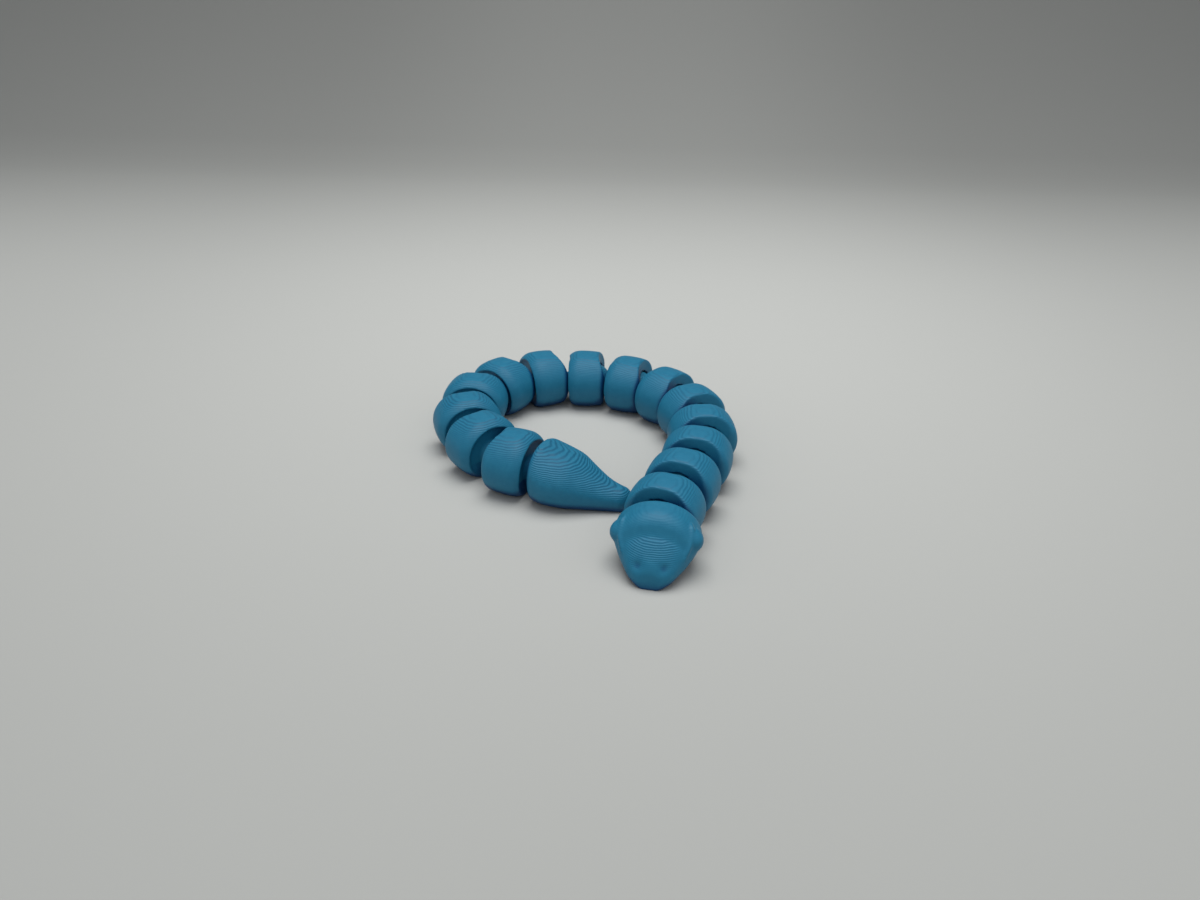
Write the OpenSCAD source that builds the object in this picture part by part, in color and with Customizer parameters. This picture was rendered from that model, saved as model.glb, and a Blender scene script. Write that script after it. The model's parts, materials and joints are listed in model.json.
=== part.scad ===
// Articulated snake toy, printed in one go: a head, fourteen body segments and a tail.
// Each piece carries a ball behind it, and the ball turns in the open socket of the next piece.
// Sizes are millimetres. The toy lies on the plane z = 0, curled to the left behind its head.

/* [Body section] */
// Width of the body
body_width = 15; // [14:0.5:17]
// Height of the body above the bed
body_height = 12.4; // [12:0.1:13.4]
// Depth that the flat underside takes off the round sides
underside_cut = 0.6; // [0.4:0.1:0.8]

/* [Body segments] */
// Distance between the balls of neighbouring pieces
segment_pitch = 10.9; // [10.7:0.1:12]
// Length of a segment without its neck and ball
segment_length = 9.8; // [9.4:0.1:9.9]
// Radius of the crown along the back of a segment
crown_radius = 24; // [16:1:60]
// Radius of the outer edge at the mouth of a segment
mouth_round = 1.6; // [1.5:0.1:2]
// Radius of the outer edge at the shoulder of a segment
shoulder_round = 3.8; // [3.6:0.1:4.2]

/* [Ball joints] */
// Radius of a ball
ball_radius = 4.7; // [4.6:0.05:4.75]
// Height of a ball's centre above the bed
ball_height = 5.1; // [4.8:0.1:5.6]
// Clearance between a ball and its socket
joint_gap = 0.3; // [0.2:0.05:0.4]
// Distance from a socket's centre forward to the mouth
mouth_depth = 3; // [2.7:0.1:3.3]
// Radius of the throat that keeps a ball in its socket
throat_radius = 4.35; // [4.3:0.05:4.4]
// How much wider a mouth is than its throat, in radius
mouth_flare = 0.5; // [0.4:0.1:0.6]
// Radius of the neck that carries a ball
neck_radius = 2.3; // [1.8:0.1:2.4]
// Depth of the groove in a shoulder, in which the lip of the next mouth swings
groove_depth = 1.75; // [1.6:0.05:1.8]
// Radius about the ball's centre of the space in which that lip swings
swing_radius = 8; // [7.8:0.1:8.1]
// How much wider a neck is where it meets the floor of the groove, in radius
root_flare = 0.8; // [0.6:0.1:0.9]
// Radius of the foot under a ball
foot_radius = 1.5; // [1:0.1:1.8]
// Radius of the hole under a socket
foot_hole_radius = 2.6; // [2.2:0.1:2.8]

/* [Head] */
// Length of the head from its shoulder to the snout
head_length = 12.5; // [11:0.1:16]
// Width of the head across the cheeks
head_width = 16; // [15:0.1:18]
// Height of the back of the head
head_height = 11.7; // [11:0.1:13]
// Width of the snout
snout_width = 6.8; // [5:0.1:9]
// Height of the snout
snout_height = 4.6; // [3.6:0.1:6]
// Fullness of the sections of the head: 1 is an ellipse, less is squarer
head_fullness = 1; // [0.8:0.05:1.1]
// Radius of the edge at the back of the head
nape_round = 1.6; // [1.4:0.1:2.2]
// Radius of the edge round the snout
snout_round = 1.8; // [1:0.1:2.2]
// Radius of an eye
eye_radius = 2.6; // [2:0.1:3]
// How far an eye stands out from the cheek
eye_rise = 0.4; // [0.3:0.1:1]
// Distance of the eyes from the shoulder of the head
eye_place = 4.5; // [3.8:0.1:5.5]
// Height of the eyes above the bed
eye_height = 6.4; // [5:0.1:7.5]

/* [Tail] */
// Length of the tail from its mouth to the tip
tail_length = 19.3; // [18:0.1:20]
// How far the tip lies to the left of the line through the tail's mouth
tail_sway = 1.9; // [0:0.1:2.4]
// Distance from the centre of the tail's socket forward to its mouth
tail_mouth_depth = 3.6; // [3:0.1:3.7]
// Width of the tail at the tip
tip_width = 4.8; // [4.2:0.1:7]
// Height of the tail at the tip
tip_height = 4.2; // [3.6:0.1:6]
// Fullness of the sections of the tail: 1 is an ellipse, less is squarer
tail_fullness = 0.9; // [0.8:0.05:1]
// Radius of the edge round the tip
tip_round = 1.6; // [0.8:0.1:2]

/* [Resting curl] */
// Way that the neck of the head points, in degrees
head_heading = 79.5; // [79:0.5:84]

/* [Hidden] */
$fn = 96;
// Turn at each joint along the toy, from the joint behind the head to the one before the tail
turns = [-11, 0.5, 7.5, 19.5, 21.5, 23, 21, 18.5, 25, 30, 30, 27, 19.5, 26, -1];
// Ball behind the head
first_ball = [16.01, -26.34];
// Radius of the round sides of the section and the height of their middle
side_radius = (body_height + underside_cut) / 2;
core_height = body_height - side_radius;
// Distance of the middle of a round side from the middle of the section
side_y = body_width / 2 - side_radius;
socket_radius = ball_radius + joint_gap;
// Distance from a ball's centre back to its own shoulder
neck_reach = segment_pitch - segment_length + mouth_depth;
// Distance from a socket's centre forward to its throat
throat_depth = sqrt(pow(socket_radius, 2) - pow(throat_radius, 2));
// A size well past every face, for cutting
past = 40;

// Head and tail along their length: share of the length, then shares of the way from the
// far end's half width and height to those of the end with the joint
head_shape = [
  [0, 0.96, 1],
  [0.13, 1, 1],
  [0.35, 0.97, 0.99],
  [0.46, 0.89, 0.94],
  [0.55, 0.78, 0.83],
  [0.63, 0.66, 0.62],
  [0.7, 0.54, 0.5],
  [0.8, 0.37, 0.34],
  [0.9, 0.18, 0.14],
  [1, 0, 0],
];
tail_shape = [
  [0, 0.9, 0.99],
  [0.1, 0.98, 0.9],
  [0.2, 1.03, 0.81],
  [0.3, 0.98, 0.74],
  [0.4, 0.88, 0.66],
  [0.5, 0.69, 0.52],
  [0.6, 0.51, 0.37],
  [0.7, 0.33, 0.23],
  [0.8, 0.19, 0.12],
  [0.9, 0.08, 0.05],
  [1, 0, 0],
];

// Headings and balls of the pieces, counted from the head
function heading(i) = i == 0 ? head_heading : heading(i - 1) + turns[i - 1];
function ball_place(i) =
  i <= 1 ? first_ball : ball_place(i - 1) + segment_pitch * [cos(heading(i - 1)), sin(heading(i - 1))];

// What rounding takes off one end: the corner outside an arc that starts a hair outside
// the crown, so that the two curves cross at one clear point
module end_corner(length, radius, round) {
  axial = length / 2 - round;
  crown_here = radius - crown_radius + sqrt(pow(crown_radius, 2) - pow(axial, 2));
  translate([crown_here - round + 0.02, axial]) difference() {
    square(2 * round);
    circle(r = round);
  }
}

// Half outline of a barrel: x outwards and y along the body, a crowned side whose two ends
// turn into the end faces through tangent arcs
module barrel_half_outline(length, radius, front_round, rear_round) {
  difference() {
    intersection() {
      translate([radius - crown_radius, 0]) circle(r = crown_radius, $fn = 360);
      translate([0, -length / 2]) square([radius + 1, length]);
    }
    end_corner(length, radius, rear_round);
    mirror([0, 1]) end_corner(length, radius, front_round);
  }
}

// Barrel along x, centred on x = 0 and cut flat at z = 0: two half turns of the half
// outline as the round sides, with a slab of the same outline between them
module barrel(length, front_round, rear_round) {
  module outline() barrel_half_outline(length, side_radius, front_round, rear_round);
  intersection() {
    translate([0, 0, core_height]) rotate([0, 90, 0]) {
      translate([0, side_y, 0]) rotate_extrude(angle = 180) outline();
      rotate([0, 0, 180]) translate([0, side_y, 0]) rotate_extrude(angle = 180) outline();
      translate([0, side_y, 0]) rotate([90, 0, 0]) linear_extrude(2 * side_y) {
        outline();
        mirror([1, 0]) outline();
      }
    }
    translate([-past / 2, -past / 2, 0]) cube([past, past, past]);
  }
}

// Room for a ball, its neck and its foot, about the socket's centre in plan: the socket,
// the throat, the flare of the mouth at its depth and the hole through the underside
module socket(depth) {
  translate([0, 0, ball_height]) {
    sphere(r = socket_radius);
    rotate([0, -90, 0]) rotate_extrude()
      polygon([[0, 0], [throat_radius, 0], [throat_radius, throat_depth],
        [throat_radius + mouth_flare, depth], [throat_radius + mouth_flare, depth + 1], [0, depth + 1]]);
  }
  translate([0, 0, -1]) cylinder(r = foot_hole_radius, h = ball_height + 1);
}

// Ball with the neck that carries it and the foot on which it stands, about the ball's
// centre in plan; the neck reaches back into its own shoulder
module ball() {
  translate([0, 0, ball_height]) {
    sphere(r = ball_radius);
    rotate([0, -90, 0]) cylinder(r = neck_radius, h = neck_reach + 0.1);
  }
  cylinder(r = foot_radius, h = ball_height);
}

// Groove in a shoulder round the root of the neck, about the ball's centre in plan: the
// part of the swinging space behind the shoulder, with a cone left round the root
module shoulder_groove() {
  translate([0, 0, ball_height]) rotate([0, -90, 0]) difference() {
    intersection() {
      sphere(r = swing_radius);
      translate([0, 0, neck_reach - 1]) cylinder(r = past / 2, h = groove_depth + 1);
    }
    cylinder(r = neck_radius, h = past);
    translate([0, 0, neck_reach + groove_depth - root_flare])
      cylinder(r1 = neck_radius, r2 = neck_radius + root_flare + 1, h = root_flare + 1);
  }
}

// Row of a shape's table in which a share of the length falls, and the table's slope there
function row(table, u, i = 0) =
  i >= len(table) - 2 || u < table[i + 1][0] ? i : row(table, u, i + 1);
function slope(table, i, k) =
  let (a = max(i - 1, 0), b = min(i + 1, len(table) - 1))
  (table[b][k] - table[a][k]) / (table[b][0] - table[a][0]);

// Smooth curve through column k of a table
function curve(table, u, k) =
  let (
    i = row(table, u),
    span = table[i + 1][0] - table[i][0],
    t = (u - table[i][0]) / span
  )
  (1 + 2 * t) * pow(1 - t, 2) * table[i][k]
    + t * pow(1 - t, 2) * span * slope(table, i, k)
    + t * t * (3 - 2 * t) * table[i + 1][k]
    - t * t * (1 - t) * span * slope(table, i + 1, k);

// What a rounded edge takes off at a distance from the end
function rounding(radius, away) =
  away >= radius ? 0 : radius - sqrt(pow(radius, 2) - pow(radius - away, 2));

// Outline of a section from its half width and its top; a fullness below 1 squares it
function section(half_width, top, fullness, points) =
  let (middle = top * core_height / body_height, low = middle + underside_cut)
  [for (k = [0:points - 1])
    let (
      turn = 360 * (k + 0.5) / points,
      c = cos(turn),
      s = sin(turn),
      y = half_width * sign(c) * pow(abs(c), fullness),
      z = (s > 0 ? top - middle : low) * sign(s) * pow(abs(s), fullness)
    )
    [y, middle + z]];

// Solid through sections along x, from the end with a joint at x = 0 to the far end; both
// ends are given as [width, height] and have rounded edges; cut flat at z = 0. Its middle
// line leaves the x axis in a parabola that ends at the sway
module loft(length, joint_end, far_end, shape, fullness, joint_round, far_round, sway) {
  points = 44;
  bend = [for (k = [0:6]) 1 - cos(15 * k)];
  places = [
    for (b = bend) joint_round * b,
    for (k = [1:14]) joint_round + (length - joint_round - far_round) * k / 15,
    for (k = [6:-1:0]) length - far_round * bend[k],
  ];
  rings = [for (x = places)
    let (
      u = x / length,
      inset = rounding(joint_round, x) + rounding(far_round, length - x),
      half_width = (far_end[0] + (joint_end[0] - far_end[0]) * curve(shape, u, 1)) / 2,
      top = far_end[1] + (joint_end[1] - far_end[1]) * curve(shape, u, 2)
    )
    [for (p = section(half_width - inset, top - inset, fullness, points))
      [x, p[0] + sway * pow(u, 2), p[1]]]];
  last = len(places) - 1;
  intersection() {
    polyhedron(
      points = [for (ring = rings) each ring],
      faces = [
        [for (k = [0:points - 1]) k],
        [for (k = [points - 1:-1:0]) last * points + k],
        for (r = [0:last - 1], k = [0:points - 1])
          let (a = r * points + k, b = r * points + (k + 1) % points)
          each [[a, a + points, b], [b, a + points, b + points]],
      ]);
    translate([-past / 2, -past / 2, 0]) cube([past * 2, past, past]);
  }
}

// Body segment with its socket at the origin, running along x
module segment() {
  difference() {
    translate([segment_length / 2 - mouth_depth, 0, 0]) barrel(segment_length, mouth_round, shoulder_round);
    socket(mouth_depth);
    translate([segment_pitch, 0, 0]) shoulder_groove();
  }
  translate([segment_pitch, 0, 0]) ball();
}

// Head with its ball at the origin, its snout towards -x
module head() {
  difference() {
    translate([-neck_reach, 0, 0]) mirror([1, 0, 0]) {
      loft(head_length, [head_width, head_height], [snout_width, snout_height], head_shape,
        head_fullness, nape_round, snout_round, 0);
      for (side = [-1, 1])
        translate([eye_place, side * (head_width / 2 + eye_rise - eye_radius), eye_height])
          sphere(r = eye_radius);
    }
    shoulder_groove();
  }
  ball();
}

// Tail with its socket at the origin, its tip towards +x
module tail() {
  difference() {
    translate([-tail_mouth_depth, 0, 0])
      loft(tail_length, [body_width, body_height], [tip_width, tip_height], tail_shape,
        tail_fullness, mouth_round, tip_round, tail_sway);
    socket(tail_mouth_depth);
  }
}

// Puts a piece in its place along the resting toy, counted from the head
module placed(i) {
  translate(ball_place(i)) rotate([0, 0, heading(i)]) children();
}

color("steelblue") placed(0) head();
for (i = [1:14]) color("steelblue") placed(i) segment();
color("steelblue") placed(15) tail();
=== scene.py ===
"""Articulated snake toy, printed in blue plastic and lying in a curl on a pale floor.

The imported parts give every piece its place. Each printed piece is rebuilt from its part as a
fine mesh with real layer steps, dressed in layered plastic and photographed from above.
"""

import json
import logging
import math
from dataclasses import dataclass, field
from enum import Enum

import bpy
import numpy as np
from mathutils import Matrix, Vector


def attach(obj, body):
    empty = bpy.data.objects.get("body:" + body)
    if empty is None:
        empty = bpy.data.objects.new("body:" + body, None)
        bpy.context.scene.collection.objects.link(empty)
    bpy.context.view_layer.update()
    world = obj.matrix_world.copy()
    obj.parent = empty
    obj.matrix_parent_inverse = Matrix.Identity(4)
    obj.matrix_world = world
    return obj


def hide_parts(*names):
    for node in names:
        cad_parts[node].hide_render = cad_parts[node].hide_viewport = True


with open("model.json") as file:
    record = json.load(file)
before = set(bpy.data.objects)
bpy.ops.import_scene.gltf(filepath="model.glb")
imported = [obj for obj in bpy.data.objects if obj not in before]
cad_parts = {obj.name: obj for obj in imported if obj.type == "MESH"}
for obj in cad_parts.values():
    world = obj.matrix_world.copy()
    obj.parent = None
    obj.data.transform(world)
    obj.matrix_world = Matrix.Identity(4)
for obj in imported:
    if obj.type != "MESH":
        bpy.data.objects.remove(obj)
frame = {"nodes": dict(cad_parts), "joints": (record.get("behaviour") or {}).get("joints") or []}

LOG = logging.getLogger("snake")
MM = 0.001
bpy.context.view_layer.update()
SEGMENT_COUNT = 14


class Slot(Enum):
    """Material slots of the record."""

    PLASTIC = "blue_plastic"


class Note(Enum):
    """Values that a printed piece's mesh holds at each vertex, for the finish to read."""

    LAYERS = "layers"
    RINGS = "rings"
    # Painted shade, and painted light below 0, that the finish adds to a joint's painted shade.
    PITS = "painted_shade_offset"


def deselect_all() -> None:
    """Leave nothing selected, so that an operator acts only on what is picked next."""
    if bpy.context.object and bpy.context.object.mode != "OBJECT":
        bpy.ops.object.mode_set(mode="OBJECT")
    bpy.ops.object.select_all(action="DESELECT")


def pick(piece: bpy.types.Object) -> None:
    """Select one object alone and make it active.

    Args:
        piece: the object.
    """
    deselect_all()
    piece.select_set(True)
    bpy.context.view_layer.objects.active = piece


def settle(piece: bpy.types.Object) -> None:
    """Move an object's place into its mesh, so that the object sits at the origin.

    Args:
        piece: the object.
    """
    pick(piece)
    bpy.ops.object.transform_apply(location=True, rotation=True, scale=True)


def change(piece: bpy.types.Object, kind: str, **settings: object) -> None:
    """Add one modifier to an object and apply it.

    Args:
        piece: the object.
        kind: the modifier's type.
        settings: the modifier's properties.
    """
    pick(piece)
    modifier = piece.modifiers.new(kind.lower(), kind)
    for name, value in settings.items():
        setattr(modifier, name, value)
    bpy.ops.object.modifier_apply(modifier=modifier.name)


@dataclass(frozen=True)
class Bench:
    """The node tree of one material, group or world, with short ways to fill it."""

    tree: bpy.types.NodeTree

    def feed(self, socket: bpy.types.NodeSocket, value: object) -> None:
        """Link a socket to another node's output, or give it a plain value.

        Args:
            socket: the input to be fed.
            value: an output socket, a number or a tuple.
        """
        if isinstance(value, bpy.types.NodeSocket):
            self.tree.links.new(value, socket)
        else:
            socket.default_value = value

    def node(
        self, kind: str, inputs: dict[str | int, object], **settings: object
    ) -> bpy.types.Node:
        """Add one node.

        Args:
            kind: the node's type without its first word.
            inputs: what each of its inputs takes.
            settings: its properties, set before the inputs.

        Returns:
            The node.
        """
        node = self.tree.nodes.new(f"ShaderNode{kind}")
        for name, value in settings.items():
            setattr(node, name, value)
        for name, value in inputs.items():
            self.feed(node.inputs[name], value)
        return node

    def math(self, operation: str, *values: object) -> bpy.types.NodeSocket:
        """Add one step of arithmetic and give its result."""
        return self.node("Math", dict(enumerate(values)), operation=operation).outputs[0]

    def ranged(
        self,
        value: bpy.types.NodeSocket,
        before: tuple[float, float],
        after: tuple[float, float],
        curve: str = "LINEAR",
    ) -> bpy.types.NodeSocket:
        """Map one span of a value to another.

        Args:
            value: the value.
            before: the two ends of its span.
            after: what they become.
            curve: how the value runs between them.

        Returns:
            The mapped value, held between the ends.
        """
        inputs = {
            "Value": value,
            "From Min": before[0],
            "From Max": before[1],
            "To Min": after[0],
            "To Max": after[1],
        }
        return self.node("MapRange", inputs, interpolation_type=curve).outputs["Result"]

    def blend(
        self, share: bpy.types.NodeSocket, first: object, second: object
    ) -> bpy.types.NodeSocket:
        """Mix two colours.

        Args:
            share: how much of the second is taken.
            first: the colour at 0.
            second: the colour at 1.

        Returns:
            The mixed colour.
        """
        inputs = {"Factor": share, "A": first, "B": second}
        return self.node("Mix", inputs, data_type="RGBA").outputs["Result"]

    def read(self, note: Note) -> bpy.types.NodeSocket:
        """Read one of the values that the mesh holds at its vertices."""
        return self.node("Attribute", {}, attribute_name=note.value).outputs["Fac"]

    def axis(self, vector: bpy.types.NodeSocket, name: str) -> bpy.types.NodeSocket:
        """Take one part of a vector, by the name of its axis."""
        return self.node("SeparateXYZ", {0: vector}).outputs[name]


@dataclass(frozen=True)
class LineSet:
    """One set of lines: how many a layer gets, and where on the slopes they show.

    The slope holds the normal's height where the lines begin and where they are full, and the
    strength their strength at each.
    """

    per_layer: float
    slope: tuple[float, float]
    strength: tuple[float, float]


@dataclass(frozen=True)
class LayeredPlastic:
    """Satin filament plastic laid down in layers.

    The lines between the layers are bumped and painted darker, as painted shade in their grooves;
    nearly flat tops show the finer lines of their last layers the same way, a fine grain varies the
    colour, and painted shade turns what lies occluded in a joint deeper blue.

    Attributes:
        colour, shade: the two blues between which the grain varies.
        painted_groove_shade: the painted shade of the lines between the layers, in their grooves.
        painted_joint_shade: the painted shade, a deep blue, of what lies occluded in a joint.
        gloss: the specular level.
        grain_scale, grain_detail: how many waves a metre the grain has, and its finer octaves.
        grain_bump, bead_bump: the strength and the depth of each bump.
        layers, paths: the lines between the layers, and the finer ones on nearly flat tops.
        seam_span: the distance from a seam, in layers, where its line begins and is full.
        flat_span: the normal's height where the lines begin to fade and where they are faded.
        flat_share: what is left of them there.
        painted_shade_reach: how far away a neighbour still puts painted shade on the surface.
        painted_shade_span: how open the surface is where the painted shade is full and where it
            ends.
    """

    name: str = "layered_plastic"
    colour: tuple[float, float, float] = (0.018, 0.19, 0.315)
    shade: tuple[float, float, float] = (0.007, 0.145, 0.26)
    # Painted shade in the grooves between the layers.
    painted_groove_shade: tuple[float, float, float] = (0.003, 0.055, 0.125)
    # Painted shade deep in a joint.
    painted_joint_shade: tuple[float, float, float] = (0.0, 0.045, 0.145)
    roughness: float = 0.5
    gloss: float = 0.28
    grain_scale: float = 900.0
    grain_detail: float = 5.0
    grain_bump: tuple[float, float] = (0.4, 0.05 * MM)
    bead_bump: tuple[float, float] = (0.5, 0.04 * MM)
    layers: LineSet = LineSet(1.0, (0.4, 0.75), (0.04, 0.42))
    paths: LineSet = LineSet(3.0, (0.88, 0.96), (0.0, 0.16))
    seam_span: tuple[float, float] = (0.3, 0.08)
    flat_span: tuple[float, float] = (0.945, 0.99)
    flat_share: float = 0.15
    # How far the painted shade of a joint reaches, where it is full, and how finely it is sampled.
    painted_shade_reach: float = 4.0 * MM
    painted_shade_span: tuple[float, float] = (0.42, 0.8)
    painted_shade_samples: int = 8

    def layer_group(self) -> bpy.types.NodeTree:
        """Build the node group that turns a count of layers into the lines between them.

        Returns:
            The group, with a line mask and a bead height as outputs.
        """
        name = "layer lines"
        found = bpy.data.node_groups.get(name)
        if found:
            return found
        group = bpy.data.node_groups.new(name, "ShaderNodeTree")
        for socket, way in (("Layers", "INPUT"), ("Line", "OUTPUT"), ("Bead", "OUTPUT")):
            group.interface.new_socket(socket, in_out=way, socket_type="NodeSocketFloat")
        bench = Bench(group)
        taken = group.nodes.new("NodeGroupInput")
        given = group.nodes.new("NodeGroupOutput")
        share = bench.math("FRACT", taken.outputs["Layers"])
        apart = bench.math("ABSOLUTE", bench.math("SUBTRACT", share, 0.5))
        line = bench.ranged(apart, self.seam_span, (0.0, 1.0), "SMOOTHSTEP")
        bench.feed(given.inputs["Line"], line)
        bench.feed(given.inputs["Bead"], bench.math("SUBTRACT", 1.0, line))
        return group

    def lines(
        self, bench: Bench, lines: LineSet
    ) -> tuple[bpy.types.NodeSocket, bpy.types.NodeSocket]:
        """Add one set of layer lines, shown by how far the surface leans back.

        Args:
            bench: the material's nodes.
            lines: the set.

        Returns:
            The strength of the line and the height of the bead.
        """
        count = bench.math("MULTIPLY", bench.read(Note.LAYERS), lines.per_layer)
        group = bench.node("Group", {}, node_tree=self.layer_group())
        bench.feed(group.inputs["Layers"], count)
        rise = bench.axis(bench.node("NewGeometry", {}).outputs["Normal"], "Z")
        shown = bench.ranged(rise, lines.slope, lines.strength)
        flat = bench.ranged(rise, self.flat_span, (1.0, self.flat_share))
        share = bench.math("MULTIPLY", bench.math("MULTIPLY", shown, flat), bench.read(Note.RINGS))
        line = bench.math("MULTIPLY", group.outputs["Line"], share)
        return line, bench.math("MULTIPLY", group.outputs["Bead"], share)

    def painted_shade_mask(self, bench: Bench) -> bpy.types.NodeSocket:
        """Measure how much painted shade a point gets: how far it lies occluded between the pieces,
        with the painted shade that its mesh holds added.

        Args:
            bench: the material's nodes.

        Returns:
            A mask of painted shade, 0 in the open and 1 deep in a joint.
        """
        occlusion = bench.node(
            "AmbientOcclusion", {"Distance": self.painted_shade_reach}, samples=self.painted_shade_samples
        )
        open_share = bench.math("SUBTRACT", occlusion.outputs["AO"], bench.read(Note.PITS))
        return bench.ranged(open_share, self.painted_shade_span, (1.0, 0.0), "SMOOTHSTEP")

    def make(self) -> bpy.types.Material:
        """Build the material once.

        Returns:
            The material, shared by all printed pieces.
        """
        found = bpy.data.materials.get(self.name)
        if found:
            return found
        material = bpy.data.materials.new(self.name)
        material.use_nodes = True
        bench = Bench(material.node_tree)
        shader = material.node_tree.nodes["Principled BSDF"]
        shader.inputs["Roughness"].default_value = self.roughness
        shader.inputs["Specular IOR Level"].default_value = self.gloss
        place = bench.node("TexCoord", {}).outputs["Object"]
        noise = {"Vector": place, "Scale": self.grain_scale, "Detail": self.grain_detail}
        grain = bench.node("TexNoise", noise).outputs["Fac"]
        layers, layer_bead = self.lines(bench, self.layers)
        paths, path_bead = self.lines(bench, self.paths)
        colour = bench.blend(grain, (*self.shade, 1), (*self.colour, 1))
        # Painted shade in the grooves of the layer lines and of the finer lines.
        colour = bench.blend(layers, colour, (*self.painted_groove_shade, 1))
        colour = bench.blend(paths, colour, (*self.painted_groove_shade, 1))
        # Painted shade: what lies occluded in a joint turns deep blue.
        colour = bench.blend(self.painted_shade_mask(bench), colour, (*self.painted_joint_shade, 1))
        bench.feed(shader.inputs["Base Color"], colour)
        normal = {}
        for height, (strength, depth) in (
            (grain, self.grain_bump),
            (layer_bead, self.bead_bump),
            (path_bead, self.bead_bump),
        ):
            bump = {"Height": height, "Strength": strength, "Distance": depth, **normal}
            normal = {"Normal": bench.node("Bump", bump).outputs["Normal"]}
        bench.feed(shader.inputs["Normal"], normal["Normal"])
        return material


@dataclass
class ViewPoint:
    """Camera at the photograph's place, looking at one point of the floor."""

    target: tuple[float, float, float] = (3.86 * MM, 8.96 * MM, 0.0)
    distance: float = 204.3 * MM
    elevation: float = 28.42
    roll: float = 1.32
    focal: float = 27.03
    sensor: float = 36.0
    clip: tuple[float, float] = (0.005, 20.0)

    def make(self) -> None:
        """Place the camera and make it the scene's own."""
        data = bpy.data.cameras.new("view")
        data.lens = self.focal
        data.sensor_width = self.sensor
        data.clip_start, data.clip_end = self.clip
        camera = bpy.data.objects.new("view", data)
        bpy.context.scene.collection.objects.link(camera)
        rise = math.radians(self.elevation)
        place = Vector(self.target) + self.distance * Vector((0, -math.cos(rise), math.sin(rise)))
        turn = (
            Matrix.Rotation(math.radians(90 - self.elevation), 4, "X")
            @ Matrix.Rotation(math.radians(self.roll), 4, "Z")
        )
        camera.matrix_world = Matrix.Translation(place) @ turn
        bpy.context.scene.camera = camera


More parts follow.
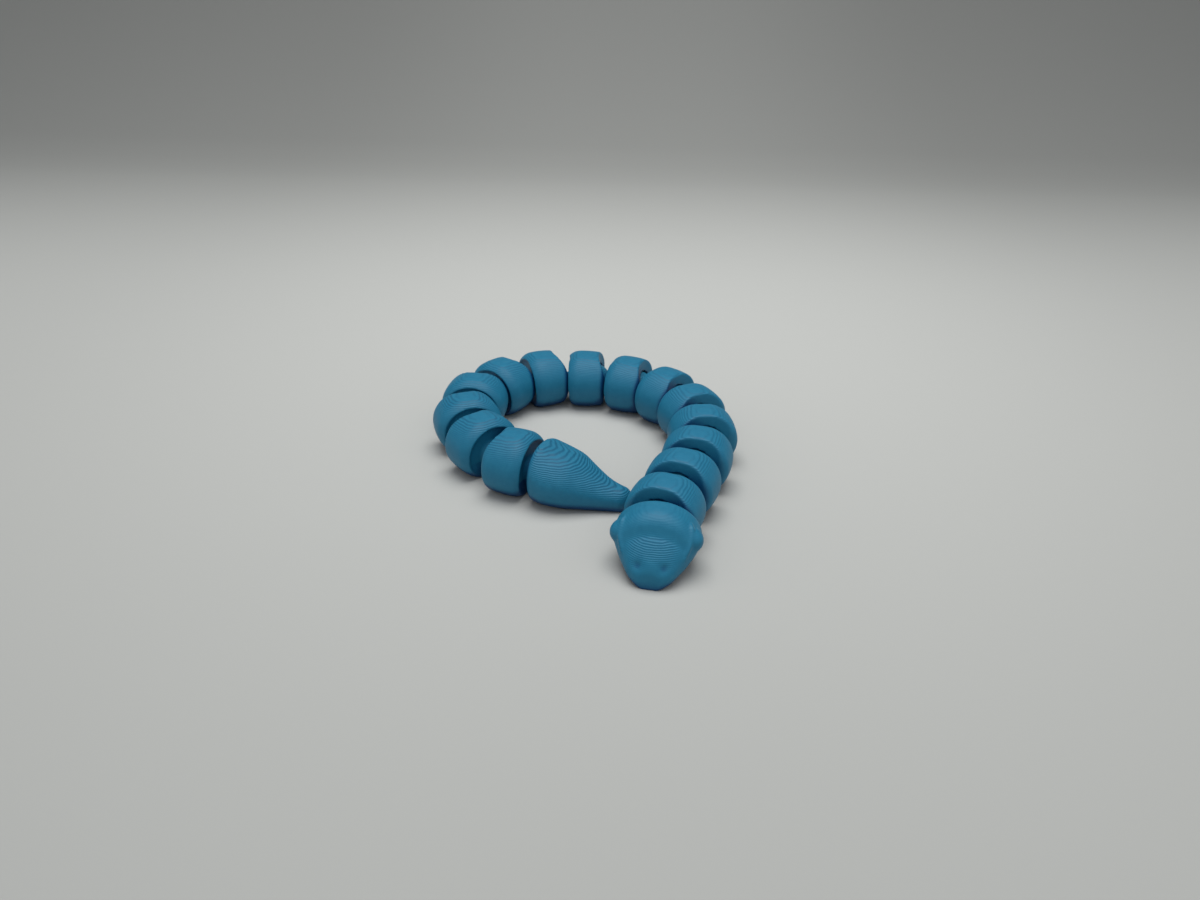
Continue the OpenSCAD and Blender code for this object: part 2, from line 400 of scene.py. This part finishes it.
@dataclass
class Studio:
    """Pale floor that sweeps up into a backdrop, with a painted pool of light in its colour and a
    broad soft lamp overhead.

    Lengths are in metres.

    Attributes:
        front, sweep_start: the floor's front edge and where it begins to sweep up.
        wall_height: the height of the backdrop above the sweep.
        tint: the floor's colour at a brightness of 1.
        painted_light_tones: its brightness at places along y, a painted pool of light.
        painted_light_middle: the x at which the painted light is brightest.
        painted_falloff_span: how far from there the painted light begins to fade, and where that
            ends.
        painted_falloff_share: the share of its brightness beyond that.
        sky: the colour of the room's light.
        zenith, horizon: the strength of that light from above and from the sides.
    """

    half_width: float = 1.6
    front: float = -1.0
    sweep_start: float = 0.30
    sweep_radius: float = 0.28
    sweep_steps: int = 16
    wall_height: float = 1.2
    floor_roughness: float = 0.8
    floor_gloss: float = 0.2
    tint: tuple[float, float, float] = (1.0, 1.008, 0.965)
    painted_light_tones: tuple[tuple[float, float], ...] = (
        (-0.12, 0.41),
        (-0.03, 0.48),
        (0.06, 0.53),
        (0.16, 0.54),
        (0.28, 0.40),
        (0.36, 0.32),
        (0.58, 0.25),
    )
    painted_light_middle: float = 0.02
    painted_falloff_span: tuple[float, float] = (0.03, 0.2)
    painted_falloff_share: float = 0.88
    lamp_place: tuple[float, float, float] = (0.0, 0.05, 0.52)
    lamp_size: float = 0.42
    lamp_power: float = 2.15
    sky: tuple[float, float, float] = (0.94, 0.97, 1.0)
    zenith: float = 0.72
    horizon: float = 0.36

    def floor_material(self) -> bpy.types.Material:
        """Build the floor's colour with a painted pool of light: brightest round the toy, darker up
        the sweep and towards the sides.

        Returns:
            The floor's material.
        """
        material = bpy.data.materials.new("pale_sweep")
        material.use_nodes = True
        bench = Bench(material.node_tree)
        shader = material.node_tree.nodes["Principled BSDF"]
        shader.inputs["Roughness"].default_value = self.floor_roughness
        shader.inputs["Specular IOR Level"].default_value = self.floor_gloss
        place = bench.node("TexCoord", {}).outputs["Object"]
        # Painted pool of light: the floor is brightest round the toy and darker up the sweep.
        start, end = self.painted_light_tones[0][0], self.painted_light_tones[-1][0]
        back = bench.ranged(bench.axis(place, "Y"), (start, end), (0.0, 1.0))
        ramp = bench.node("ValToRGB", {"Fac": back})
        ramp.color_ramp.interpolation = "B_SPLINE"
        stops = ramp.color_ramp.elements
        for step, (depth, tone) in enumerate(self.painted_light_tones):
            share = (depth - start) / (end - start)
            stop = stops[step] if step < 2 else stops.new(share)
            stop.position = share
            stop.color = (*(tone * part for part in self.tint), 1)
        # Painted falloff of light towards the sides.
        from_middle = bench.math("SUBTRACT", bench.axis(place, "X"), self.painted_light_middle)
        fall = bench.ranged(
            bench.math("ABSOLUTE", from_middle),
            self.painted_falloff_span,
            (1.0, self.painted_falloff_share),
            "SMOOTHSTEP",
        )
        inputs = {0: ramp.outputs["Color"], "Scale": fall}
        tone = bench.node("VectorMath", inputs, operation="SCALE")
        bench.feed(shader.inputs["Base Color"], tone.outputs[0])
        return material

    def floor(self) -> None:
        """Model the floor and its sweep from one plane whose back edge is drawn up."""
        deselect_all()
        bpy.ops.mesh.primitive_plane_add(size=2.0, location=(0, 0, 0))
        floor = bpy.context.object
        floor.name = "floor"
        depth = (self.sweep_start - self.front) / 2
        floor.scale = (self.half_width, depth, 1)
        floor.location = (0, self.front + depth, 0)
        settle(floor)
        bpy.ops.object.mode_set(mode="EDIT")
        bpy.ops.mesh.select_mode(type="EDGE")
        bpy.ops.mesh.select_all(action="DESELECT")
        bpy.ops.object.mode_set(mode="OBJECT")
        for edge in floor.data.edges:
            ends = [floor.data.vertices[i].co.y for i in edge.vertices]
            edge.select = min(ends) > self.sweep_start - 0.1 * MM
        bpy.ops.object.mode_set(mode="EDIT")
        for step in range(self.sweep_steps):
            a, b = (math.radians(90 * n / self.sweep_steps) for n in (step, step + 1))
            move = (
                0,
                self.sweep_radius * (math.sin(b) - math.sin(a)),
                self.sweep_radius * (math.cos(a) - math.cos(b)),
            )
            bpy.ops.mesh.extrude_region_move(TRANSFORM_OT_translate={"value": move})
        bpy.ops.mesh.extrude_region_move(TRANSFORM_OT_translate={"value": (0, 0, self.wall_height)})
        bpy.ops.object.mode_set(mode="OBJECT")
        bpy.ops.object.shade_smooth()
        floor.data.materials.append(self.floor_material())

    def lamp(self) -> None:
        """Hang the square soft lamp, facing the toy."""
        data = bpy.data.lights.new("overhead", "AREA")
        data.shape = "SQUARE"
        data.size = self.lamp_size
        data.energy = self.lamp_power
        lamp = bpy.data.objects.new("overhead", data)
        lamp.location = self.lamp_place
        lamp.rotation_euler = Vector(self.lamp_place).to_track_quat("Z", "Y").to_euler()
        bpy.context.scene.collection.objects.link(lamp)

    def room(self) -> None:
        """Light the room evenly, and more from above than from the sides."""
        world = bpy.data.worlds.new("room")
        world.use_nodes = True
        bench = Bench(world.node_tree)
        rise = bench.axis(bench.node("TexCoord", {}).outputs["Generated"], "Z")
        strength = bench.ranged(rise, (0.0, 1.0), (self.horizon, self.zenith))
        background = world.node_tree.nodes["Background"]
        bench.feed(background.inputs["Strength"], strength)
        background.inputs["Color"].default_value = (*self.sky, 1)
        bpy.context.scene.world = world

    def make(self) -> None:
        """Build the floor, the lamp and the light of the room."""
        self.floor()
        self.lamp()
        self.room()


def joint_place(number: int) -> Vector:
    """Give the centre of one ball, in metres, on the bed.

    Args:
        number: the joint, counted from 0 behind the head.

    Returns:
        The point under the ball's centre.
    """
    x, y, _ = frame["joints"][number]["pos_m"]
    return Vector((x, y, 0))


def frame_at(place: Vector, heading: float) -> Matrix:
    """Make the matrix from a piece's own frame in millimetres to the row frame in metres.

    Args:
        place: the point of the bed under the piece's own origin.
        heading: the way of the piece's +x, in radians.

    Returns:
        The matrix.
    """
    return Matrix.Translation(place) @ Matrix.Rotation(heading, 4, "Z") @ Matrix.Scale(MM, 4)


def faded(values: np.ndarray, width: float) -> np.ndarray:
    """Turn signed distances into shares that rise from 0 to 1 over a width round 0."""
    return np.clip(values / width + 0.5, 0, 1)


@dataclass
class PrintedPiece:
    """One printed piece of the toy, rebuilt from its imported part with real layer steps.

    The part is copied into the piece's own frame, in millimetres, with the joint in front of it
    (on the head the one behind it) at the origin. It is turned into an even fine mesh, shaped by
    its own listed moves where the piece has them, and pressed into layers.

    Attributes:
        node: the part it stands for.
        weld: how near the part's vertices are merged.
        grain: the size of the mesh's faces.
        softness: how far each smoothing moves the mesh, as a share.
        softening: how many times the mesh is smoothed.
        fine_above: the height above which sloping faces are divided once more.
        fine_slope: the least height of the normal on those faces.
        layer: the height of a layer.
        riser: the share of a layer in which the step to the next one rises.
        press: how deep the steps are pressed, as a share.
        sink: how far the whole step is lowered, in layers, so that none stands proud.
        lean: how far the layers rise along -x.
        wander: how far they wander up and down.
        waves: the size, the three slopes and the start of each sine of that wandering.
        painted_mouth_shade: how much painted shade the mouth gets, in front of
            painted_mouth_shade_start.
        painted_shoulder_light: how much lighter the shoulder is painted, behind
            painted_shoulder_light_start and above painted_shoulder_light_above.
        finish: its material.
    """

    node: str
    weld: float = 0.0005
    grain: float = 0.24
    softness: float = 0.5
    softening: int = 6
    fine_above: float = 7.6
    fine_slope: float = 0.35
    layer: float = 0.31
    riser: float = 0.6
    press: float = 0.7
    sink: float = 0.2
    lean: float = 0.07
    wander: float = 0.026
    waves: tuple[tuple[float, float, float, float, float], ...] = (
        (1.0, 1.3, 0.5, 0.0, 0.4),
        (1.0, -0.6, 1.1, 0.7, 0.0),
        (1.0, 0.9, -1.7, -0.5, 2.1),
        (0.6, 2.6, 1.9, 1.1, 4.0),
        (0.4, -1.9, 3.3, -0.8, 1.2),
    )
    # Painted shade round the mouth, and painted light on the shoulder's top.
    painted_mouth_shade: float = 0.16
    painted_mouth_shade_start: float = -0.6
    painted_shoulder_light: float = 0.3
    painted_shoulder_light_start: float = 4.0
    painted_shoulder_light_above: float = 4.0
    finish: LayeredPlastic = field(default_factory=LayeredPlastic)

    def place(self) -> Matrix:
        """Find where the piece lies.

        Returns:
            The matrix from the piece's own frame, in millimetres, to the row frame in metres.
        """
        raise NotImplementedError

    def stand(self, mesh: bpy.types.Mesh) -> bpy.types.Object:
        """Put the piece's mesh into the scene under the piece's name.

        Args:
            mesh: the mesh, which loses the materials of its part.

        Returns:
            The object that holds it.
        """
        mesh.materials.clear()
        piece = bpy.data.objects.new(f"{self.node}_printed", mesh)
        bpy.context.scene.collection.objects.link(piece)
        return piece

    def blank(self) -> bpy.types.Object:
        """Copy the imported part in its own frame, in millimetres, with its vertices merged.

        Returns:
            The copy, as an object of its own.
        """
        mesh = frame["nodes"][self.node].data.copy()
        mesh.transform(self.place().inverted())
        piece = self.stand(mesh)
        pick(piece)
        bpy.ops.object.mode_set(mode="EDIT")
        bpy.ops.mesh.select_all(action="SELECT")
        bpy.ops.mesh.remove_doubles(threshold=self.weld)
        bpy.ops.object.mode_set(mode="OBJECT")
        return piece

    def carve(self, piece: bpy.types.Object) -> None:
        """Cut the copy before it is meshed; a plain piece keeps its form."""

    def even_mesh(self, piece: bpy.types.Object) -> None:
        """Give the copy small even faces, and smaller ones where the layers open into rings.

        Args:
            piece: the copy, in millimetres.
        """
        change(piece, "REMESH", mode="VOXEL", voxel_size=self.grain)
        change(piece, "SMOOTH", factor=self.softness, iterations=self.softening)
        bpy.ops.object.mode_set(mode="EDIT")
        bpy.ops.mesh.select_mode(type="FACE")
        bpy.ops.object.mode_set(mode="OBJECT")
        for face in piece.data.polygons:
            face.select = self.wants_fine(face.center, face.normal)
        bpy.ops.object.mode_set(mode="EDIT")
        bpy.ops.mesh.subdivide(number_cuts=1)
        bpy.ops.object.mode_set(mode="OBJECT")

    def wants_fine(self, centre: Vector, normal: Vector) -> bool:
        """Tell whether a face lies on an upper outer slope, where the layers show as rings."""
        return centre.z > self.fine_above and normal.z > self.fine_slope

    def shape(self, points: np.ndarray) -> np.ndarray:
        """Move the points of the piece; a plain piece keeps its form.

        Args:
            points: the vertices in the piece's own frame, in millimetres.

        Returns:
            The moved vertices.
        """
        return points

    def layer_height(self, points: np.ndarray) -> np.ndarray:
        """Give each point's height among the layers, which lean and wander a little.

        Args:
            points: the vertices in the piece's own frame, in millimetres.

        Returns:
            The heights, in millimetres.
        """
        x, y, z = points.T
        waves = sum(
            size * np.sin(along * x + across * y + up * z + start)
            for size, along, across, up, start in self.waves
        )
        return z - self.lean * x + self.wander * waves

    def ring_share(self, points: np.ndarray) -> np.ndarray:
        """Tell how clearly the layers show at each point; on a plain piece alike all over.

        Args:
            points: the vertices in the piece's own frame, in millimetres.

        Returns:
            One share a vertex, from 0 to 1.
        """
        return np.ones(len(points))

    def painted_shade_offset(self, points: np.ndarray) -> np.ndarray:
        """Tell how much painted shade a point gets: painted shade round the mouth, painted light on
        the shoulder.

        Args:
            points: the vertices in the piece's own frame, in millimetres.

        Returns:
            One value a vertex, below 0 where painted light makes the point lighter.
        """
        # Painted shade in front of the mouth's rim, painted light on the shoulder's top.
        mouth = self.painted_mouth_shade * np.clip(-points[:, 0] + self.painted_mouth_shade_start, 0, 1)
        shoulder = np.clip(points[:, 0] - self.painted_shoulder_light_start, 0, 1) * (points[:, 2] > self.painted_shoulder_light_above)
        return mouth - self.painted_shoulder_light * shoulder

    def press_layers(self, points: np.ndarray, layers: np.ndarray, share: np.ndarray) -> None:
        """Press the points into terraces with soft risers, one per layer.

        Args:
            points: the vertices in the piece's own frame, in millimetres.
            layers: how many layers lie below each vertex.
            share: how clearly the layers show at each vertex.
        """
        whole = np.floor(layers)
        rise = np.clip((layers - whole - 0.5) / self.riser + 0.5, 0, 1)
        stepped = whole + rise * rise * (3 - 2 * rise)
        clear = np.clip((points[:, 2] - self.layer) / self.layer, 0, 1)
        points[:, 2] += clear * share * self.press * self.layer * (stepped - layers - self.sink)

    def note(self, mesh: bpy.types.Mesh, note: Note, values: np.ndarray) -> None:
        """Write one value a vertex into the mesh, for the finish to read."""
        mesh.attributes.new(note.value, "FLOAT", "POINT").data.foreach_set("value", values)

    def model(self) -> bpy.types.Object:
        """Build the piece and stand it in for its part.

        Returns:
            The finished piece.
        """
        piece = self.blank()
        self.carve(piece)
        self.even_mesh(piece)
        mesh = piece.data
        points = np.empty(len(mesh.vertices) * 3)
        mesh.vertices.foreach_get("co", points)
        points = self.shape(points.reshape(-1, 3))
        layers = self.layer_height(points) / self.layer
        share = self.ring_share(points)
        self.press_layers(points, layers, share)
        mesh.vertices.foreach_set("co", points.ravel())
        self.note(mesh, Note.LAYERS, layers)
        self.note(mesh, Note.RINGS, share)
        self.note(mesh, Note.PITS, self.painted_shade_offset(points))
        mesh.transform(self.place())
        self.hand_over(piece)
        return piece

    def hand_over(self, piece: bpy.types.Object) -> None:
        """Smooth and dress the piece, and tell the frame what it stands for and rides on.

        Args:
            piece: the piece, in place in the row frame.
        """
        pick(piece)
        bpy.ops.object.shade_smooth()
        piece.data.materials.append(self.finish.make())
        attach(piece, self.node)
        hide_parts(self.node)
        LOG.info("%s: %d faces", piece.name, len(piece.data.polygons))


@dataclass
class Segment(PrintedPiece):
    """One of the alike body segments, whose mouth is set back towards the top.

    Attributes:
        number: its place, counted from 1 behind the head.
        rim: how far in front of the joint the mouth's rim lies, at the height of the ball.
        rim_height: the height of the ball's centre.
        rim_lean: how far the rim leans back, in degrees.
        rim_bow: the radius of the bow in which the rim runs from side to side.
        drum_height: the height of the drum that cuts the rim.
        drum_sides: the number of its sides.
        clear_from: the first segment on which the layers show clearly.
        faint: how clearly they show on the others.
    """

    number: int = 1
    rim: float = 2.75
    rim_height: float = 5.1
    rim_lean: float = 10.0
    rim_bow: float = 17.0
    drum_height: float = 40.0
    drum_sides: int = 160
    clear_from: int = 12
    faint: float = 0.6

    def place(self) -> Matrix:
        """Find the segment's place from the two balls at its ends.

        Returns:
            The matrix from its own frame, its tail end towards +x, to the row frame.
        """
        front, rear = joint_place(self.number - 1), joint_place(self.number)
        way = rear - front
        return frame_at(front, math.atan2(way.y, way.x))

    def carve(self, piece: bpy.types.Object) -> None:
        """Set the mouth's rim back towards the top, by cutting it with a tilted drum.

        Args:
            piece: the copy, in millimetres.
        """
        lean = math.radians(self.rim_lean)
        forward = Vector((-math.cos(lean), 0, math.sin(lean)))
        deselect_all()
        bpy.ops.mesh.primitive_cylinder_add(
            vertices=self.drum_sides,
            radius=self.rim_bow,
            depth=self.drum_height,
            location=Vector((-self.rim, 0, self.rim_height)) + forward * self.rim_bow,
            rotation=(0, lean, 0),
        )
        drum = bpy.context.object
        change(piece, "BOOLEAN", operation="DIFFERENCE", solver="EXACT", object=drum)
        bpy.data.objects.remove(drum)

    def ring_share(self, points: np.ndarray) -> np.ndarray:
        """Show the layers clearly near the tail and faintly elsewhere.

        Args:
            points: the vertices in the segment's own frame, in millimetres.

        Returns:
            One share a vertex, from 0 to 1.
        """
        return np.full(len(points), self.clearness())

    def clearness(self) -> float:
        """Tell how clearly the layers show on this segment, from 0 to 1."""
        return 1.0 if self.number >= self.clear_from else self.faint

    def copy(self, first: bpy.types.Mesh, back: Matrix) -> None:
        """Copy the first segment's mesh into this segment's place.

        Args:
            first: the first segment's mesh, in the row frame.
            back: the matrix from the row frame to a segment's own frame.
        """
        mesh = first.copy()
        mesh.transform(self.place() @ back)
        share = np.full(len(mesh.vertices), self.clearness())
        mesh.attributes[Note.RINGS.value].data.foreach_set("value", share)
        self.hand_over(self.stand(mesh))


def model_body() -> None:
    """Build the first segment and copy it into the places of the others."""
    segments = [
        Segment(f"segment_{number:02d}", number=number) for number in range(1, SEGMENT_COUNT + 1)
    ]
    first = segments[0].model()
    back = segments[0].place().inverted()
    for segment in segments[1:]:
        segment.copy(first.data, back)


@dataclass
class Head(PrintedPiece):
    """The head: eye bumps under brow ridges, a ringed muzzle and two nostril dimples.

    Places are given for one side and mirrored to the other. Each push is the way in which its
    form moves the surface, and is mirrored too.

    Attributes:
        fine_before: the x in front of which faces are divided once more.
        heading: the way of the piece's +x, in degrees.
        brow_start, brow_end: the ends of a brow ridge.
        brow_ends: the shares of its length beyond which it fades no further.
        stop_place: the x of the stop, the dip across the head behind the muzzle.
        stop_above: the height above which it is sunk.
        muzzle: the x of the muzzle's front and back, between which the layers show clearly.
        muzzle_fade: the width over which they fade, along and across.
        plain_share: how clearly they show elsewhere.
    """

    node: str = "head"
    grain: float = 0.19
    fine_above: float = 3.0
    fine_slope: float = 0.2
    fine_before: float = -6.0
    lean: float = 0.0
    heading: float = 79.5
    brow_start: tuple[float, float, float] = (-8.4, 6.2, 9.5)
    brow_end: tuple[float, float, float] = (-12.8, 5.8, 5.0)
    brow_height: float = 0.75
    brow_width: float = 0.5
    brow_ends: tuple[float, float] = (0.04, 0.96)
    brow_push: tuple[float, float, float] = (-0.25, 0.55, 0.8)
    eye: tuple[float, float, float] = (-9.9, 7.3, 6.9)
    eye_swell: float = 0.4
    eye_radius: float = 1.7
    eye_push: tuple[float, float, float] = (-0.35, 0.9, 0.2)
    nostril: tuple[float, float, float] = (-15.75, 2.4, 4.35)
    nostril_depth: float = 0.42
    nostril_radius: float = 1.0
    nostril_push: tuple[float, float, float] = (0.95, 0.0, -0.15)
    # Painted shade in the nostril dimples.
    painted_nostril_shade: float = 0.4
    stop_place: float = -12.2
    stop_depth: float = 0.3
    stop_length: float = 0.6
    stop_half_width: float = 6.2
    stop_above: float = 3.0
    muzzle: tuple[float, float] = (-15.4, -12.3)
    muzzle_half_width: float = 4.4
    muzzle_fade: tuple[float, float] = (0.8, 1.6)
    plain_share: float = 0.2

    def place(self) -> Matrix:
        """Find the head's place: its ball at the origin, its snout towards -x."""
        return frame_at(joint_place(0), math.radians(self.heading))

    def wants_fine(self, centre: Vector, normal: Vector) -> bool:
        """Tell whether a face lies on the muzzle or the brows."""
        return centre.x < self.fine_before and super().wants_fine(centre, normal)

    def shape(self, points: np.ndarray) -> np.ndarray:
        """Raise the brow ridges, swell the eyes, press in the nostrils and sink the stop.

        Args:
            points: the vertices in the head's own frame, in millimetres.

        Returns:
            The moved vertices.
        """
        for side in (-1, 1):
            mirror = np.array([1, side, 1])
            brow = self.brow_height * self.along_brow(points, mirror)
            points = points + brow[:, None] * (self.brow_push * mirror)
            swell = self.eye_swell * self.near(points, self.eye * mirror, self.eye_radius)
            points = points + swell[:, None] * (self.eye_push * mirror)
            dimple = self.near(points, self.nostril * mirror, self.nostril_radius)
            points = points + (self.nostril_depth * dimple)[:, None] * np.array(self.nostril_push)
        across = np.clip(1 - (np.abs(points[:, 1]) / self.stop_half_width) ** 4, 0, 1)
        across = across * (points[:, 2] > self.stop_above)
        along = np.exp(-(((points[:, 0] - self.stop_place) / self.stop_length) ** 2))
        points[:, 2] -= self.stop_depth * across * along
        return points

    def ring_share(self, points: np.ndarray) -> np.ndarray:
        """Show the layers on the muzzle between the brows and the nostrils, and faintly elsewhere.

        Args:
            points: the vertices in the head's own frame, in millimetres.

        Returns:
            One share a vertex, from 0 to 1.
        """
        front, back = self.muzzle
        fade_along, fade_across = self.muzzle_fade
        along = faded(points[:, 0] - front, fade_along)
        along *= faded(back - points[:, 0], fade_along)
        across = faded(self.muzzle_half_width - np.abs(points[:, 1]), fade_across)
        return self.plain_share + (1 - self.plain_share) * along * across

    def painted_shade_offset(self, points: np.ndarray) -> np.ndarray:
        """Paint shade into the nostrils.

        Args:
            points: the vertices in the head's own frame, in millimetres.

        Returns:
            One value a vertex, from 0 to 1.
        """
        left, right = (
            self.near(points, np.array(self.nostril) * (1, side, 1), self.nostril_radius)
            for side in (-1, 1)
        )
        return self.painted_nostril_shade * (left + right)

    def near(self, points: np.ndarray, centre: np.ndarray, radius: float) -> np.ndarray:
        """Weigh points by how near they lie to a centre.

        Args:
            points: the vertices in the head's own frame, in millimetres.
            centre: the centre.
            radius: the distance at which the weight has fallen to 0.37.

        Returns:
            One weight a vertex, from 0 to 1.
        """
        return np.exp(-((np.linalg.norm(points - centre, axis=1) / radius) ** 2))

    def along_brow(self, points: np.ndarray, mirror: np.ndarray) -> np.ndarray:
        """Weigh points by how near they lie to one brow's line, fading at its ends.

        Args:
            points: the vertices in the head's own frame, in millimetres.
            mirror: the signs that put the line on the left or the right side.

        Returns:
            One weight a vertex, from 0 to 1.
        """
        start, end = self.brow_start * mirror, self.brow_end * mirror
        line = end - start
        share = np.clip((points - start) @ line / (line @ line), 0, 1)
        off = np.linalg.norm(points - (start + share[:, None] * line), axis=1)
        taper = np.sqrt(np.sin(np.pi * np.clip(share, *self.brow_ends)))
        return taper * np.exp(-((off / self.brow_width) ** 2))


@dataclass
class Tail(PrintedPiece):
    """The tapering tail.

    Attributes:
        heading: the way of the piece's +x, in degrees.
    """

    node: str = "tail"
    grain: float = 0.2
    fine_above: float = 3.2
    lean: float = -0.09
    heading: float = 336.5

    def place(self) -> Matrix:
        """Find the tail's place: its socket at the origin, its tip towards +x."""
        return frame_at(joint_place(SEGMENT_COUNT), math.radians(self.heading))


def main() -> None:
    """Build the camera, the studio and the pieces in order."""
    logging.basicConfig(level=logging.INFO, format="%(name)s: %(message)s")
    ViewPoint().make()
    Studio().make()
    Head().model()
    model_body()
    Tail().model()
    bpy.context.scene.view_settings.view_transform = "Standard"


if __name__ == "__main__":
    main()
